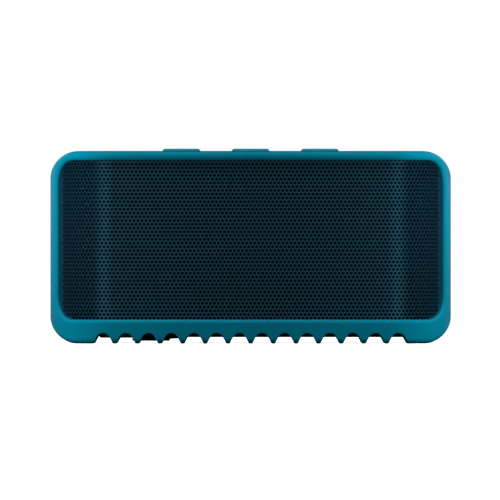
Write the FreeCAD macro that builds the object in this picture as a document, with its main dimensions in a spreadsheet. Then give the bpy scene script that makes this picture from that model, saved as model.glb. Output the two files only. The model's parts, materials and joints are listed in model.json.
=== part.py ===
"""A portable loudspeaker in a silicone skin: perforated front and rear grilles that wrap round the corners,
three buttons on top, a port panel on the right end, and a ribbed sole that stores its own audio lead.

Millimetres. X runs along the front to the right, Y to the rear, Z up. The origin is on the surface that the
sole stands on, under the middle of the body."""

import FreeCAD, Part
import math
import os

import Sketcher
from FreeCAD import Rotation, Vector

DIMENSIONS = {
    # body
    "body_wide": 126.0,
    "body_deep": 54.0,
    "body_tall": 60.35,
    "plan_round": 19.8,
    "face_round": 9.0,
    "face_extra": 0.06,
    "edge_round": 1.5,
    # sleeve
    "skin": 1.3,
    "roof": 2.0,
    "floor_high": 7.0,
    "cavity_round": 6.5,
    "window_side": 1.9,
    "window_top": 2.97,
    "window_low": 7.62,
    "window_round": 8.0,
    "window_lip": 1.25,
    "play": 0.05,
    # sole
    "notch_count": 14,
    "notch_pitch": 7.1,
    "notch_high": 3.22,
    "notch_round": 2.25,
    "notch_foot": 3.32,
    "notch_lip": 0.3,
    "sole_inset": 4.0,
    "lead_half": 10.0,
    "lead_thick": 2.5,
    "lead_high": 3.17,
    "groove_wide": 2.8,
    "turn_across": 41.0,
    "plug_high": 3.47,
    "pin_thick": 3.5,
    "pin_long": 14.0,
    "grip_thick": 5.4,
    "grip_long": 11.7,
    "relief_thick": 4.2,
    "relief_long": 5.0,
    "grip_start": -37.2,
    # layers behind the windows, each as a depth below the outer face
    "grille_inset": 1.35,
    "grille_thick": 0.5,
    "cloth_inset": 1.9,
    "cloth_thick": 0.3,
    "chassis_inset": 2.3,
    "chassis_wall": 2.0,
    "band_half": 9.0,
    # loudspeakers and passive radiator
    "driver_across": 29.0,
    "driver_high": 32.6,
    "driver_front": -20.5,
    "driver_radius": 20.0,
    "driver_hole": 17.0,
    "seat_thick": 1.7,
    "flange_thick": 1.5,
    "cone_radius": 13.5,
    "roll_thick": 0.4,
    "coil_radius": 6.3,
    "pole_radius": 6.0,
    "gap_radius": 7.1,
    "magnet_radius": 12.0,
    "radiator_radius": 22.0,
    "radiator_hole": 19.0,
    "plate_radius": 12.0,
    # buttons and main board
    "button_wide": 11.9,
    "button_deep": 14.0,
    "button_round": 3.0,
    "button_proud": 0.91,
    "button_pitch": 21.8,
    "button_gap": 0.25,
    "button_dome": 0.8,
    "board_high": 51.0,
    "board_thick": 1.2,
    "board_wide": 82.0,
    "board_deep": 23.0,
    "switch_wide": 6.0,
    "switch_tall": 3.0,
    "plunger_radius": 1.7,
    "plunger_proud": 0.8,
    # port panel on the right end
    "panel_wide": 10.8,
    "panel_tall": 35.0,
    "panel_high": 32.0,
    "panel_face": 62.4,
    "panel_thick": 3.2,
    "jack_high": 21.0,
    "jack_bore": 1.8,
    "usb_high": 30.5,
    "guide_high": 37.2,
    "knob_high": 43.5,
    "knob_travel": 2.0,
    # battery
    "cell_radius": 9.2,
    "cell_long": 65.0,
    "cell_deep": 8.2,
    "cell_high": 19.2,
    # fasteners
    "post_across": 53.0,
    "post_low": 12.6,
    "post_high": 53.2,
}

PLANES = {"XY": "XY_Plane", "XZ": "XZ_Plane", "YZ": "YZ_Plane"}
TURNS = {"X": Rotation(Vector(0, 1, 0), 90), "Y": Rotation(Vector(1, 0, 0), -90), "Z": Rotation()}

doc = FreeCAD.newDocument("speaker")
sheet = doc.addObject("Spreadsheet::Sheet", "dims")
for row, (alias, size) in enumerate(DIMENSIONS.items(), 1):
    sheet.set(f"A{row}", alias)
    sheet.set(f"B{row}", str(size))
    sheet.setAlias(f"B{row}", alias)
doc.recompute()

pieces = {}


# ---- helpers -------------------------------------------------------------------------------------------------


def size_of(text):
    """The number that an expression in the sheet's dimensions comes to."""
    found = sheet.evalExpression(str(text))
    return float(getattr(found, "Value", found))


def bind(thing, **sizes):
    for name, text in sizes.items():
        thing.setExpression(name, str(text))
    return thing


def place(thing, x="0", y="0", z="0", turn=None):
    """Puts a thing at a point given as three expressions."""
    base = Vector(size_of(x), size_of(y), size_of(z))
    thing.Placement = FreeCAD.Placement(base, turn or Rotation())
    for axis, text in zip("xyz", (x, y, z)):
        thing.setExpression(f".Placement.Base.{axis}", str(text))
    return thing


def piece(name, thing):
    thing.Label = name
    pieces[name] = thing
    return thing


def new(kind, name):
    return doc.addObject(kind, name)


def box(name, long, deep, tall, x, y, z):
    """A box by its size and its lowest corner."""
    made = bind(new("Part::Box", name), Length=long, Width=deep, Height=tall)
    return place(made, x, y, z)


def block(name, long, deep, tall, x="0", y="0", z="0"):
    """A box by its size and its centre."""
    corner = [f"({mid}) - ({size}) / 2" for mid, size in ((x, long), (y, deep), (z, tall))]
    return box(name, long, deep, tall, *corner)


def rod(name, radius, long, x="0", y="0", z="0", axis="Z"):
    """A cylinder that starts at a point and runs along one axis."""
    made = bind(new("Part::Cylinder", name), Radius=radius, Height=long)
    return place(made, x, y, z, TURNS[axis])


def fuse(name, *parts):
    made = new("Part::MultiFuse", name)
    made.Shapes = list(parts)
    return made


def group(name, *parts):
    """Separate solids kept in one node."""
    made = new("Part::Compound", name)
    made.Links = list(parts)
    return made


def cut(name, base, *tools):
    made = new("Part::Cut", name)
    made.Base = base
    made.Tool = tools[0] if len(tools) == 1 else fuse(name + "_tools", *tools)
    return made


def common(name, base, tool):
    made = new("Part::Common", name)
    made.Base, made.Tool = base, tool
    return made


def ring(name, outer, inner, long, x="0", y="0", z="0", axis="Z"):
    where = (long, x, y, z, axis)
    return cut(name, rod(name + "_out", outer, *where), rod(name + "_in", inner, *where))


def sketch_in(body, plane):
    drawn = body.newObject("Sketcher::SketchObject", body.Name + "_sketch")
    side = [f for f in body.Origin.OriginFeatures if f.Role == PLANES[plane]][0]
    drawn.AttachmentSupport = [(side, "")]
    drawn.MapMode = "FlatFace"
    return drawn


def measure(drawn, kind, *where, text):
    """Adds a constraint whose size follows an expression."""
    at = drawn.addConstraint(Sketcher.Constraint(kind, *where, size_of(text)))
    drawn.renameConstraint(at, f"size{at}")
    drawn.setExpression(f"Constraints.size{at}", str(text))


def draw_rounded(drawn, wide, tall, corner, across="0", up="0"):
    """A rounded rectangle of four lines and four arcs, centred on (across, up)."""
    w, h, r = size_of(wide), size_of(tall), size_of(corner)
    left, low = size_of(across) - w / 2, size_of(up) - h / 2
    right, high = left + w, low + h
    sides = [
        ((left + r, low), (right - r, low)),
        ((right, low + r), (right, high - r)),
        ((right - r, high), (left + r, high)),
        ((left, high - r), (left, low + r)),
    ]
    hubs = [(right - r, low + r), (right - r, high - r), (left + r, high - r), (left + r, low + r)]
    for n, (side, hub) in enumerate(zip(sides, hubs)):
        drawn.addGeometry(Part.LineSegment(Vector(*side[0], 0), Vector(*side[1], 0)), False)
        circle = Part.Circle(Vector(*hub, 0), Vector(0, 0, 1), r)
        start = math.radians(90 * n - 90)
        drawn.addGeometry(Part.ArcOfCircle(circle, start, start + math.pi / 2), False)
    for n in range(0, 8, 2):
        drawn.addConstraint(Sketcher.Constraint("Tangent", n, 2, n + 1, 1))
        drawn.addConstraint(Sketcher.Constraint("Tangent", n + 1, 2, (n + 2) % 8, 1))
        drawn.addConstraint(Sketcher.Constraint("Horizontal" if n % 4 == 0 else "Vertical", n))
    for n in (3, 5, 7):
        drawn.addConstraint(Sketcher.Constraint("Equal", 1, n))
    measure(drawn, "Radius", 1, text=corner)
    measure(drawn, "DistanceX", 6, 1, 2, 1, text=wide)
    measure(drawn, "DistanceY", 0, 1, 4, 1, text=tall)
    measure(drawn, "DistanceX", -1, 1, 2, 1, text=f"({across}) + ({wide}) / 2")
    measure(drawn, "DistanceY", -1, 1, 4, 1, text=f"({up}) + ({tall}) / 2")


def draw_corners(drawn, corners):
    """A closed outline of straight lines through corners given as pairs of expressions."""
    spots = [Vector(size_of(a), size_of(b), 0) for a, b in corners]
    count = len(spots)
    for n in range(count):
        drawn.addGeometry(Part.LineSegment(spots[n], spots[(n + 1) % count]), False)
    for n in range(count):
        drawn.addConstraint(Sketcher.Constraint("Coincident", n, 2, (n + 1) % count, 1))
    for n, (a, b) in enumerate(corners):
        for kind, text, axis in (("DistanceX", a, -2), ("DistanceY", b, -1)):
            if abs(size_of(text)) < 1e-9:
                drawn.addConstraint(Sketcher.Constraint("PointOnObject", n, 1, axis))
            else:
                measure(drawn, kind, -1, 1, n, 1, text=text)


def padded(name, plane, long, draw, *outline, midplane=False):
    """A body with one sketch, padded along the plane's normal."""
    body = new("PartDesign::Body", name)
    drawn = sketch_in(body, plane)
    draw(drawn, *outline)
    pad = body.newObject("PartDesign::Pad", name + "_pad")
    pad.Profile = drawn
    pad.Midplane = midplane
    bind(pad, Length=long)
    return body


def turned(name, corners, x, y, z):
    """A body turned about the Y axis: each corner is (radius, distance to the rear of y)."""
    body = new("PartDesign::Body", name)
    drawn = sketch_in(body, "XY")
    draw_corners(drawn, corners)
    spin = body.newObject("PartDesign::Revolution", name + "_turn")
    spin.Profile = drawn
    spin.ReferenceAxis = (drawn, ["V_Axis"])
    spin.Angle = 360
    return place(body, x, y, z)


def along_x(body, count, pitch):
    """Repeats a body's last feature along X, spread evenly about its middle."""
    drawn = body.Group[0]
    pattern = body.newObject("PartDesign::LinearPattern", body.Name + "_row")
    pattern.Originals = [body.Tip]
    pattern.Direction = (drawn, ["H_Axis"])
    bind(pattern, Length=f"({pitch}) * (({count}) - 1)", Occurrences=count)
    body.Tip = pattern
    return place(body, f"-({pitch}) * (({count}) - 1) / 2")


def creases(shape):
    """The numbers of a shape's edges where its two faces meet at more than a few degrees."""
    sharp = []
    for number, edge in enumerate(shape.Edges, 1):
        middle = edge.valueAt((edge.FirstParameter + edge.LastParameter) / 2)
        normals = []
        for face in shape.ancestorsOfType(edge, Part.Face):
            u, v = face.Surface.parameter(middle)
            normals.append(face.normalAt(u, v))
        if len(normals) == 2 and normals[0].getAngle(normals[1]) > math.radians(5):
            sharp.append(number)
    return sharp


def rounded_edges(name, base, radius, wanted=None):
    """A Part::Fillet of a shape's creases, or of those that the test wanted accepts."""
    doc.recompute()
    made = new("Part::Fillet", name)
    made.Base = base
    size = size_of(radius)
    edges = base.Shape.Edges
    chosen = [n for n in creases(base.Shape) if wanted is None or wanted(edges[n - 1])]
    made.Edges = [(n, size, size) for n in chosen]
    return made


def spun(name, corners, x, y, z):
    """A body turned about the X axis: each corner is (distance along x, radius)."""
    body = new("PartDesign::Body", name)
    drawn = sketch_in(body, "XY")
    draw_corners(drawn, corners)
    spin = body.newObject("PartDesign::Revolution", name + "_turn")
    spin.Profile = drawn
    spin.ReferenceAxis = (drawn, ["H_Axis"])
    spin.Angle = 360
    return place(body, x, y, z)


def wire_along(name, radius, points):
    """A round wire through the points, each inner corner rounded by an arc that its runs allow."""
    spots = [Vector(*(size_of(c) for c in point)) for point in points]
    edges = []
    here = spots[0]
    for before, corner, after in zip(spots, spots[1:], spots[2:]):
        back, ahead = before - corner, after - corner
        half = back.getAngle(ahead) / 2
        reach = 0.45 * min(back.Length, ahead.Length)
        back.normalize()
        ahead.normalize()
        toward = (back + ahead).normalize()
        middle = corner + toward * (reach / math.cos(half) - reach * math.tan(half))
        edges.append(Part.LineSegment(here, corner + back * reach).toShape())
        edges.append(Part.Arc(corner + back * reach, middle, corner + ahead * reach).toShape())
        here = corner + ahead * reach
    edges.append(Part.LineSegment(here, spots[-1]).toShape())
    path = new("Part::Feature", name + "_path")
    path.Shape = Part.Wire(edges)
    section = bind(new("Part::Circle", name + "_section"), Radius=radius)
    run = spots[1] - spots[0]
    section.Placement = FreeCAD.Placement(spots[0], Rotation(Vector(0, 0, 1), run))
    made = new("Part::Sweep", name)
    made.Sections = [section]
    made.Spine = (path, [f"Edge{n}" for n in range(1, len(edges) + 1)])
    made.Solid = True
    made.Frenet = False
    return made


def screw(name, shank, head, head_long, long, x, y, z, axis):
    """A screw whose head starts at a point and whose shank follows it along +axis."""
    spot = {"X": x, "Y": y, "Z": z}
    spot[axis] = f"({spot[axis]}) + ({head_long})"
    top = rod(name + "_head", head, head_long, x, y, z, axis)
    return fuse(name, top, rod(name + "_shank", shank, long, spot["X"], spot["Y"], spot["Z"], axis))


# ---- shared solids -------------------------------------------------------------------------------------------

plans = {}


def plan(inset):
    """An upright prism with the body's plan, drawn in by an inset."""
    key = str(inset)
    if key not in plans:
        sizes = [f"dims.body_{way} - 2 * ({inset})" for way in ("wide", "deep")]
        sizes.append(f"dims.plan_round - ({inset})")
        made = padded(f"plan_{len(plans)}", "XY", "dims.body_tall + 2", draw_rounded, *sizes)
        plans[key] = place(made, z="-1")
    return plans[key]


def front_prism(name, wide, low, high, corner, deep="70", y="0"):
    """A prism along Y with a rounded rectangle for its front view, centred on y."""
    sizes = [wide, f"({high}) - ({low})", corner, "0", f"(({low}) + ({high})) / 2"]
    return place(padded(name, "XZ", deep, draw_rounded, *sizes, midplane=True), y=y)


def envelope(name, inset, low, high, corner):
    wide = f"dims.body_wide - 2 * ({inset}) + 2 * dims.face_extra"
    return common(name, plan(inset), front_prism(name + "_front", wide, low, high, corner))


def draw_notch(drawn):
    """One notch of the sole: an arc at its crown, tangent to two flanks that end below ground."""
    foot, crown, radius = (size_of(f"dims.notch_{part}") for part in ("foot", "high", "round"))
    hub, low = crown - radius, -0.5
    aim = math.atan2(low - hub, foot) + math.acos(radius / math.hypot(foot, hub - low))
    touch = Vector(radius * math.cos(aim), hub + radius * math.sin(aim), 0)
    mirrored = Vector(-touch.x, touch.y, 0)
    circle = Part.Circle(Vector(0, hub, 0), Vector(0, 0, 1), radius)
    drawn.addGeometry(Part.LineSegment(Vector(-foot, low, 0), Vector(foot, low, 0)), False)
    drawn.addGeometry(Part.LineSegment(Vector(foot, low, 0), touch), False)
    drawn.addGeometry(Part.ArcOfCircle(circle, aim, math.pi - aim), False)
    drawn.addGeometry(Part.LineSegment(mirrored, Vector(-foot, low, 0)), False)
    drawn.addConstraint(Sketcher.Constraint("Coincident", 0, 2, 1, 1))
    drawn.addConstraint(Sketcher.Constraint("Tangent", 1, 2, 2, 1))
    drawn.addConstraint(Sketcher.Constraint("Tangent", 2, 2, 3, 1))
    drawn.addConstraint(Sketcher.Constraint("Coincident", 3, 2, 0, 1))
    drawn.addConstraint(Sketcher.Constraint("PointOnObject", 2, 3, -2))
    measure(drawn, "Radius", 2, text="dims.notch_round")
    measure(drawn, "DistanceY", -1, 1, 2, 3, text="dims.notch_high - dims.notch_round")
    measure(drawn, "DistanceX", -1, 1, 0, 2, text="dims.notch_foot")
    measure(drawn, "DistanceX", 0, 1, -1, 1, text="dims.notch_foot")
    measure(drawn, "DistanceY", 0, 2, -1, 1, text="0.5")
    measure(drawn, "DistanceY", 0, 1, -1, 1, text="0.5")


notches = padded("notches", "XZ", "70", draw_notch, midplane=True)
along_x(notches, "dims.notch_count", "dims.notch_pitch")

BUTTONS = {"volume_down": "-dims.button_pitch", "call": "0", "volume_up": "dims.button_pitch"}
SIDES = {"left": "-dims.driver_across", "right": "dims.driver_across"}


def upright(name, wide, deep, corner, low, high, x="0", y="0"):
    """A prism along Z with a rounded rectangle for its plan."""
    made = padded(name, "XY", f"({high}) - ({low})", draw_rounded, wide, deep, corner)
    return place(made, x, y, low)


def sideways(name, deep, tall, corner, long, x, y, z):
    """A prism along X with a rounded rectangle for its end view."""
    made = padded(name, "YZ", long, draw_rounded, deep, tall, corner)
    return place(made, x, y, z)


# ---- skin and sole -------------------------------------------------------------------------------------------


def window_cutter(name, side):
    """Cuts a window whose rounded ends run square to the wrapped corners: side -1 is the front, 1 the rear."""
    hub_x = "(dims.body_wide / 2 - dims.plan_round)"
    hub_y = "(dims.body_deep / 2 - dims.plan_round)"
    low, high = "dims.window_low", "dims.body_tall - dims.window_top"
    tall, mid = f"{high} - ({low})", f"({high} + {low}) / 2"
    lean = f"asin((dims.body_wide / 2 - dims.window_side - {hub_x}) / dims.plan_round)"
    parts = [block(f"{name}_middle", f"2 * {hub_x}", "20", tall, "0", f"{side} * 26", mid)]
    for end in (-1, 1):
        sizes = ["40", tall, "dims.window_round", f"{-20 * end}", mid]
        made = padded(f"{name}_end_{end + 1}", "XZ", "28", draw_rounded, *sizes, midplane=True)
        turn = Rotation(Vector(0, 0, 1), -end * side * size_of(lean))
        place(made, f"{end} * ({hub_x} + dims.plan_round * sin({lean}))",
              f"{side} * ({hub_y} + dims.plan_round * cos({lean}))", "0", turn)
        parts.append(made)
    return fuse(name, *parts)


def depth_in_plan(spot):
    """How far inside the body's plan a point lies."""
    hub_x = size_of("dims.body_wide / 2 - dims.plan_round")
    hub_y = size_of("dims.body_deep / 2 - dims.plan_round")
    over_x, over_y = abs(spot.x) - hub_x, abs(spot.y) - hub_y
    if over_x > 0 and over_y > 0:
        return size_of("dims.plan_round") - math.hypot(over_x, over_y)
    return size_of("dims.plan_round") - max(over_x, over_y)


def soften_skin(base):
    """Rounds the rims of the windows, the notches, the button openings and the port opening."""
    doc.recompute()
    low, high = size_of("dims.window_low"), size_of("dims.body_tall - dims.window_top")
    edge_x = size_of("dims.body_wide / 2 - dims.window_side")
    lip, rim = size_of("dims.window_lip"), size_of("dims.notch_lip")
    chosen = []
    for number, edge in enumerate(base.Shape.Edges, 1):
        spot = edge.valueAt((edge.FirstParameter + edge.LastParameter) / 2)
        if spot.z > size_of("dims.body_tall") - 0.001 and abs(spot.y) < size_of("dims.button_deep"):
            chosen.append((number, rim, rim))
        if depth_in_plan(spot) > 0.01:
            continue
        if spot.z < size_of("dims.notch_high") + 0.1:
            chosen.append((number, rim, rim))
        elif abs(spot.y) < size_of("dims.panel_wide"):
            chosen.append((number, rim, rim))
        elif low - 0.1 < spot.z < high + 0.1 and abs(spot.x) < edge_x + 0.1:
            chosen.append((number, lip, lip))
    made = new("Part::Fillet", "outer_sleeve")
    made.Base = base
    made.Edges = chosen
    return made


def build_skin():
    outer = rounded_edges("skin_outer", envelope("skin_body", "0", "0", "dims.body_tall", "dims.face_round"),
                          "dims.edge_round")
    hollow = envelope("skin_hollow", "dims.skin", "dims.floor_high", "dims.body_tall - dims.roof",
                      "dims.cavity_round")
    foot = upright("skin_foot", "dims.body_wide - 2 * dims.sole_inset", "dims.body_deep - 2 * dims.sole_inset",
                   "dims.plan_round - dims.sole_inset", "-1", "dims.floor_high + 0.5")
    tools = [hollow, foot, notches, window_cutter("front_window", -1), window_cutter("rear_window", 1)]
    for name, across in BUTTONS.items():
        tools.append(upright(f"skin_{name}", "dims.button_wide + 2 * dims.button_gap",
                             "dims.button_deep + 2 * dims.button_gap", "dims.button_round + dims.button_gap",
                             "dims.body_tall - dims.roof - 1", "dims.body_tall + 1", across))
    tools.append(sideways("skin_ports", "dims.panel_wide + 0.3", "dims.panel_tall + 0.3", "2.65", "4",
                          "dims.body_wide / 2 - 3", "0", "dims.panel_high"))
    piece("outer_sleeve", soften_skin(cut("skin_cut", outer, *tools)))


def lead_path(name, width):
    """The groove's plan: two straight runs joined by a half turn, as one upright slot of a given width."""
    start = "dims.grip_start - dims.pin_long - 1"
    long = f"dims.turn_across - ({start})"
    straight = []
    for side in (-1, 1):
        straight.append(box(f"{name}_{side}", long, width, "dims.lead_high + dims.lead_thick / 2 + 1.15", start,
                            f"{side} * dims.lead_half - ({width}) / 2", "-1"))
    tall = "dims.lead_high + dims.lead_thick / 2 + 1.15"
    bend = cut(name + "_bend",
               rod(name + "_out", f"dims.lead_half + ({width}) / 2", tall, "dims.turn_across", "0", "-1"),
               rod(name + "_in", f"dims.lead_half - ({width}) / 2", "20", "dims.turn_across", "0", "-5"),
               box(name + "_back", "40", "60", "20", "dims.turn_across - 40", "-30", "-5"))
    return straight + [bend]


def build_sole():
    inset = "dims.sole_inset + dims.play"
    blank = upright("sole_blank", f"dims.body_wide - 2 * ({inset})", f"dims.body_deep - 2 * ({inset})",
                  f"dims.plan_round - ({inset})", "-1", "dims.floor_high")
    pad = common("sole_within", blank, envelope("sole_limit", "0", "0", "dims.body_tall", "dims.face_round"))
    tools = [notches] + lead_path("groove", "dims.groove_wide")
    pocket_long = "dims.pin_long + dims.grip_long + dims.relief_long + 2"
    for side in (-1, 1):
        tools.append(box(f"pocket_{side}", pocket_long, "dims.grip_thick + 0.8",
                         "dims.plug_high + dims.grip_thick / 2 + 1.2", "dims.grip_start - dims.pin_long - 1",
                         f"{side} * dims.lead_half - dims.grip_thick / 2 - 0.4", "-1"))
    piece("sole_pad", cut("sole_pad", pad, *tools))


def build_lead():
    cable = new("PartDesign::Body", "audio_cable")
    start = "(dims.grip_start + dims.grip_long + dims.relief_long)"
    run = size_of(f"dims.turn_across - {start}")
    half = size_of("dims.lead_half")
    spine = sketch_in(cable, "XY")
    spine.addGeometry(Part.LineSegment(Vector(0, 0, 0), Vector(run, 0, 0)), False)
    circle = Part.Circle(Vector(run, half, 0), Vector(0, 0, 1), half)
    spine.addGeometry(Part.ArcOfCircle(circle, -math.pi / 2, math.pi / 2), False)
    spine.addGeometry(Part.LineSegment(Vector(run, 2 * half, 0), Vector(0, 2 * half, 0)), False)
    spine.addConstraint(Sketcher.Constraint("Coincident", 0, 1, -1, 1))
    spine.addConstraint(Sketcher.Constraint("Horizontal", 0))
    spine.addConstraint(Sketcher.Constraint("Tangent", 0, 2, 1, 1))
    spine.addConstraint(Sketcher.Constraint("Tangent", 1, 2, 2, 1))
    measure(spine, "Radius", 1, text="dims.lead_half")
    measure(spine, "DistanceX", 0, 1, 0, 2, text=f"dims.turn_across - {start}")
    spine.addConstraint(Sketcher.Constraint("Horizontal", 2))
    spine.addConstraint(Sketcher.Constraint("PointOnObject", 2, 2, -2))
    section = sketch_in(cable, "YZ")
    section.Label = "audio_cable_section"
    section.addGeometry(Part.Circle(Vector(0, 0, 0), Vector(0, 0, 1), size_of("dims.lead_thick / 2")), False)
    section.addConstraint(Sketcher.Constraint("Coincident", 0, 3, -1, 1))
    measure(section, "Radius", 0, text="dims.lead_thick / 2")
    doc.recompute()
    pipe = cable.newObject("PartDesign::AdditivePipe", "audio_cable_pipe")
    pipe.Profile = section
    pipe.Spine = (spine, ["Edge1", "Edge2", "Edge3"])
    piece("audio_cable", place(cable, start, "-dims.lead_half", "dims.lead_high"))

    grips, pins = [], []
    for side in (-1, 1):
        where = (f"{side} * dims.lead_half", "dims.plug_high")
        relief = bind(new("Part::Cone", f"relief_{side}"), Radius1="dims.relief_thick / 2",
                      Radius2="dims.relief_thick / 2 - 0.3", Height="dims.relief_long")
        place(relief, "dims.grip_start + dims.grip_long", *where, TURNS["X"])
        grip = rod(f"grip_{side}", "dims.grip_thick / 2", "dims.grip_long", "dims.grip_start", *where, "X")
        grips.append(fuse(f"plug_grip_{side}", grip, relief))
        shank = "dims.pin_thick / 2"
        corners = [
            ("0", "0"),
            ("0", shank),
            ("-dims.pin_long + 4.1", shank),
            ("-dims.pin_long + 3.5", f"{shank} - 0.45"),
            ("-dims.pin_long + 2.4", shank),
            ("-dims.pin_long + 1.8", shank),
            ("-dims.pin_long", f"{shank} - 1.2"),
            ("-dims.pin_long", "0"),
        ]
        pins.append(spun(f"plug_pin_{side}", corners, "dims.grip_start", *where))
    piece("plug_grips", group("plug_grips", *grips))
    piece("plug_pins", group("plug_pins", *pins))


# ---- grilles, cloth and frame --------------------------------------------------------------------------------


def build_fronts():
    """The perforated shells and the cloth behind them, which wrap from the flat face round both corners."""
    for side, name in ((-1, "front"), (1, "rear")):
        reach = "dims.body_deep / 2 + 2 - dims.band_half"
        middle = f"{side} * (dims.band_half + 0.2 + ({reach}) / 2)"
        wide, top = "dims.body_wide - 2 * dims.skin - 0.3", "dims.body_tall - dims.roof - 0.2"
        outline = front_prism(f"{name}_outline", wide, "dims.floor_high + 0.2", top, "dims.cavity_round - 0.1",
                              reach, middle)
        for layer in ("grille", "cloth"):
            inset = f"dims.{layer}_inset"
            shell = cut(f"{name}_{layer}_shell", plan(inset), plan(f"{inset} + dims.{layer}_thick"))
            piece(f"{name}_{layer}", common(f"{name}_{layer}", shell, outline))


def seat(name, side, radius, x):
    """A pad behind a baffle's wall that a flange is glued to; it overlaps the wall by half a millimetre."""
    wall = "dims.body_deep / 2 - dims.chassis_inset - dims.chassis_wall"
    start = f"{wall} - dims.seat_thick" if side > 0 else f"-({wall}) - 0.5"
    return rod(name, f"({radius}) + 0.3", "dims.seat_thick + 0.5", x, start, "dims.driver_high", "Y")


def build_frame():
    low, high = "dims.floor_high + dims.play", "dims.body_tall - dims.roof - dims.play"
    wall = "dims.chassis_inset + dims.chassis_wall"
    outer = envelope("slab_outer", "dims.grille_inset", low, high, "dims.cavity_round")
    baffle_outer = envelope("baffle_outer", "dims.chassis_inset", low, high, "dims.cavity_round")
    inner = envelope("frame_inner", wall, f"{low} + dims.chassis_wall", f"{high} - dims.chassis_wall",
                     f"dims.face_round - ({wall})")
    band = block("band", "140", "2 * dims.band_half", "80", "0", "0", "30")
    posts = [(f"{a} * dims.post_across", z) for a in (-1, 1) for z in ("dims.post_low", "dims.post_high")]

    ring_part = cut("slab_ring", common("slab", outer, band), inner)
    added, removed = [], []
    for n, (x, z) in enumerate(posts):
        added.append(rod(f"lug_{n}", "3.6", "2 * dims.band_half", x, "-dims.band_half", z, "Y"))
        removed.append(rod(f"lug_hole_{n}", "1.6", "2 * dims.band_half + 2", x, "-dims.band_half - 1", z, "Y"))
    roof_low = f"{high} - dims.chassis_wall"
    for name, across in BUTTONS.items():
        added.append(upright(f"well_{name}", "dims.button_wide + 5", "2 * dims.band_half", "2",
                             f"{roof_low} - 1.1", f"{roof_low} + 0.5", across))
        removed.append(upright(f"pocket_{name}", "dims.button_wide + 2.8", "dims.button_deep + 2.8",
                               "dims.button_round + 1.4", f"{high} - 1.55", f"{high} + 1", across))
        removed.append(rod(f"stem_hole_{name}", "2.2", "12", across, "0", "dims.board_high"))
    for n, (x, y) in enumerate((a, b) for a in (-37, 37) for b in (-6, 6)):
        boss_low = "dims.board_high + dims.board_thick"
        added.append(rod(f"boss_{n}", "2.8", f"{roof_low} + 0.5 - ({boss_low})", x, y, boss_low))
        removed.append(rod(f"boss_hole_{n}", "1.1", "4.2", x, y, f"{boss_low} - 1"))
    end_inner = "dims.body_wide / 2 - dims.chassis_inset - dims.chassis_wall"
    added.append(box("rail", "3.3", "2.6", "32", f"{end_inner} - 3.25", "-7", "17"))
    removed.append(sideways("ports_hole", "dims.panel_wide + 0.1", "dims.panel_tall + 0.1", "2.55", "6",
                            f"{end_inner} + 0.45", "0", "dims.panel_high"))
    removed.append(sideways("ports_ledge", "dims.panel_wide - 1.6", "dims.panel_tall - 1.6", "1.7", "6",
                            f"{end_inner} - 0.5", "0", "dims.panel_high"))
    for n, z in enumerate(("25.35", "48.3")):
        removed.append(rod(f"rail_hole_{n}", "0.85", "4", "57", "-8", z, "Y"))
    bare = fuse("slab_full", ring_part, common("slab_added", fuse("slab_extras", *added), outer))
    piece("middle_frame", cut("middle_frame", bare, *removed))

    for side, name in ((-1, "front"), (1, "rear")):
        reach = f"{side} * (dims.band_half + 0.4 + 20)"
        half = block(f"{name}_half", "140", "40", "80", "0", reach, "30")
        shell = cut(f"{name}_shell", common(f"{name}_solid", baffle_outer, half), inner)
        added, removed = [], []
        edge = "(dims.band_half + 0.4)"
        for n, (x, z) in enumerate(posts):
            start = f"{side} * {edge}" if side > 0 else f"-{edge} - 14"
            added.append(rod(f"{name}_post_{n}", "3.6", "14", x, start, z, "Y"))
            if side > 0:
                removed.append(rod(f"{name}_way_{n}", "1.6", "6", x, "dims.band_half", z, "Y"))
                removed.append(rod(f"{name}_sink_{n}", "2.7", "20", x, f"{edge} + 2.95", z, "Y"))
            else:
                removed.append(rod(f"{name}_way_{n}", "1.3", "9.2", x, f"-{edge} - 8.2", z, "Y"))
        if side < 0:
            for end, across in SIDES.items():
                added.append(seat(f"seat_{end}", side, "dims.driver_radius", across))
                removed.append(rod(f"front_hole_{end}", "dims.driver_hole", "12", across, "-30",
                                   "dims.driver_high", "Y"))
            removed.append(rod("sound_hole", "0.8", "12", "0", "-30", "48", "Y"))
        else:
            added.append(seat("seat_rear", side, "dims.radiator_radius", "0"))
            removed.append(rod("rear_hole", "dims.radiator_hole", "12", "0", "18", "dims.driver_high", "Y"))
        limit = common(f"{name}_limit", baffle_outer, half)
        extras = common(f"{name}_added", fuse(f"{name}_extras", *added), limit)
        whole = fuse(f"{name}_full", shell, extras)
        piece(f"{name}_baffle", cut(f"{name}_baffle", whole, *removed))

    seals = []
    for side in (-1, 1):
        joint = block(f"seal_joint_{side}", "140", "0.34", "80", "0", f"{side} * (dims.band_half + 0.2)", "30")
        seals.append(cut(f"seal_{side}", common(f"seal_solid_{side}", baffle_outer, joint), inner))
    piece("frame_seals", group("frame_seals", *seals))

    screws = []
    for n, (x, z) in enumerate(posts):
        made = screw(f"frame_screw_{n}", "1.25", "2.4", "1.6", "29", x, "-(dims.band_half + 3.4) - 1.6", z, "Y")
        flip = Rotation(Vector(0, 0, 1), 180)
        made.Placement = FreeCAD.Placement(Vector(2 * size_of(x), 0, 0), flip)
        screws.append(made)
    piece("frame_screws", group("frame_screws", *screws))


# ---- loudspeakers and passive radiator -----------------------------------------------------------------------


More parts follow.
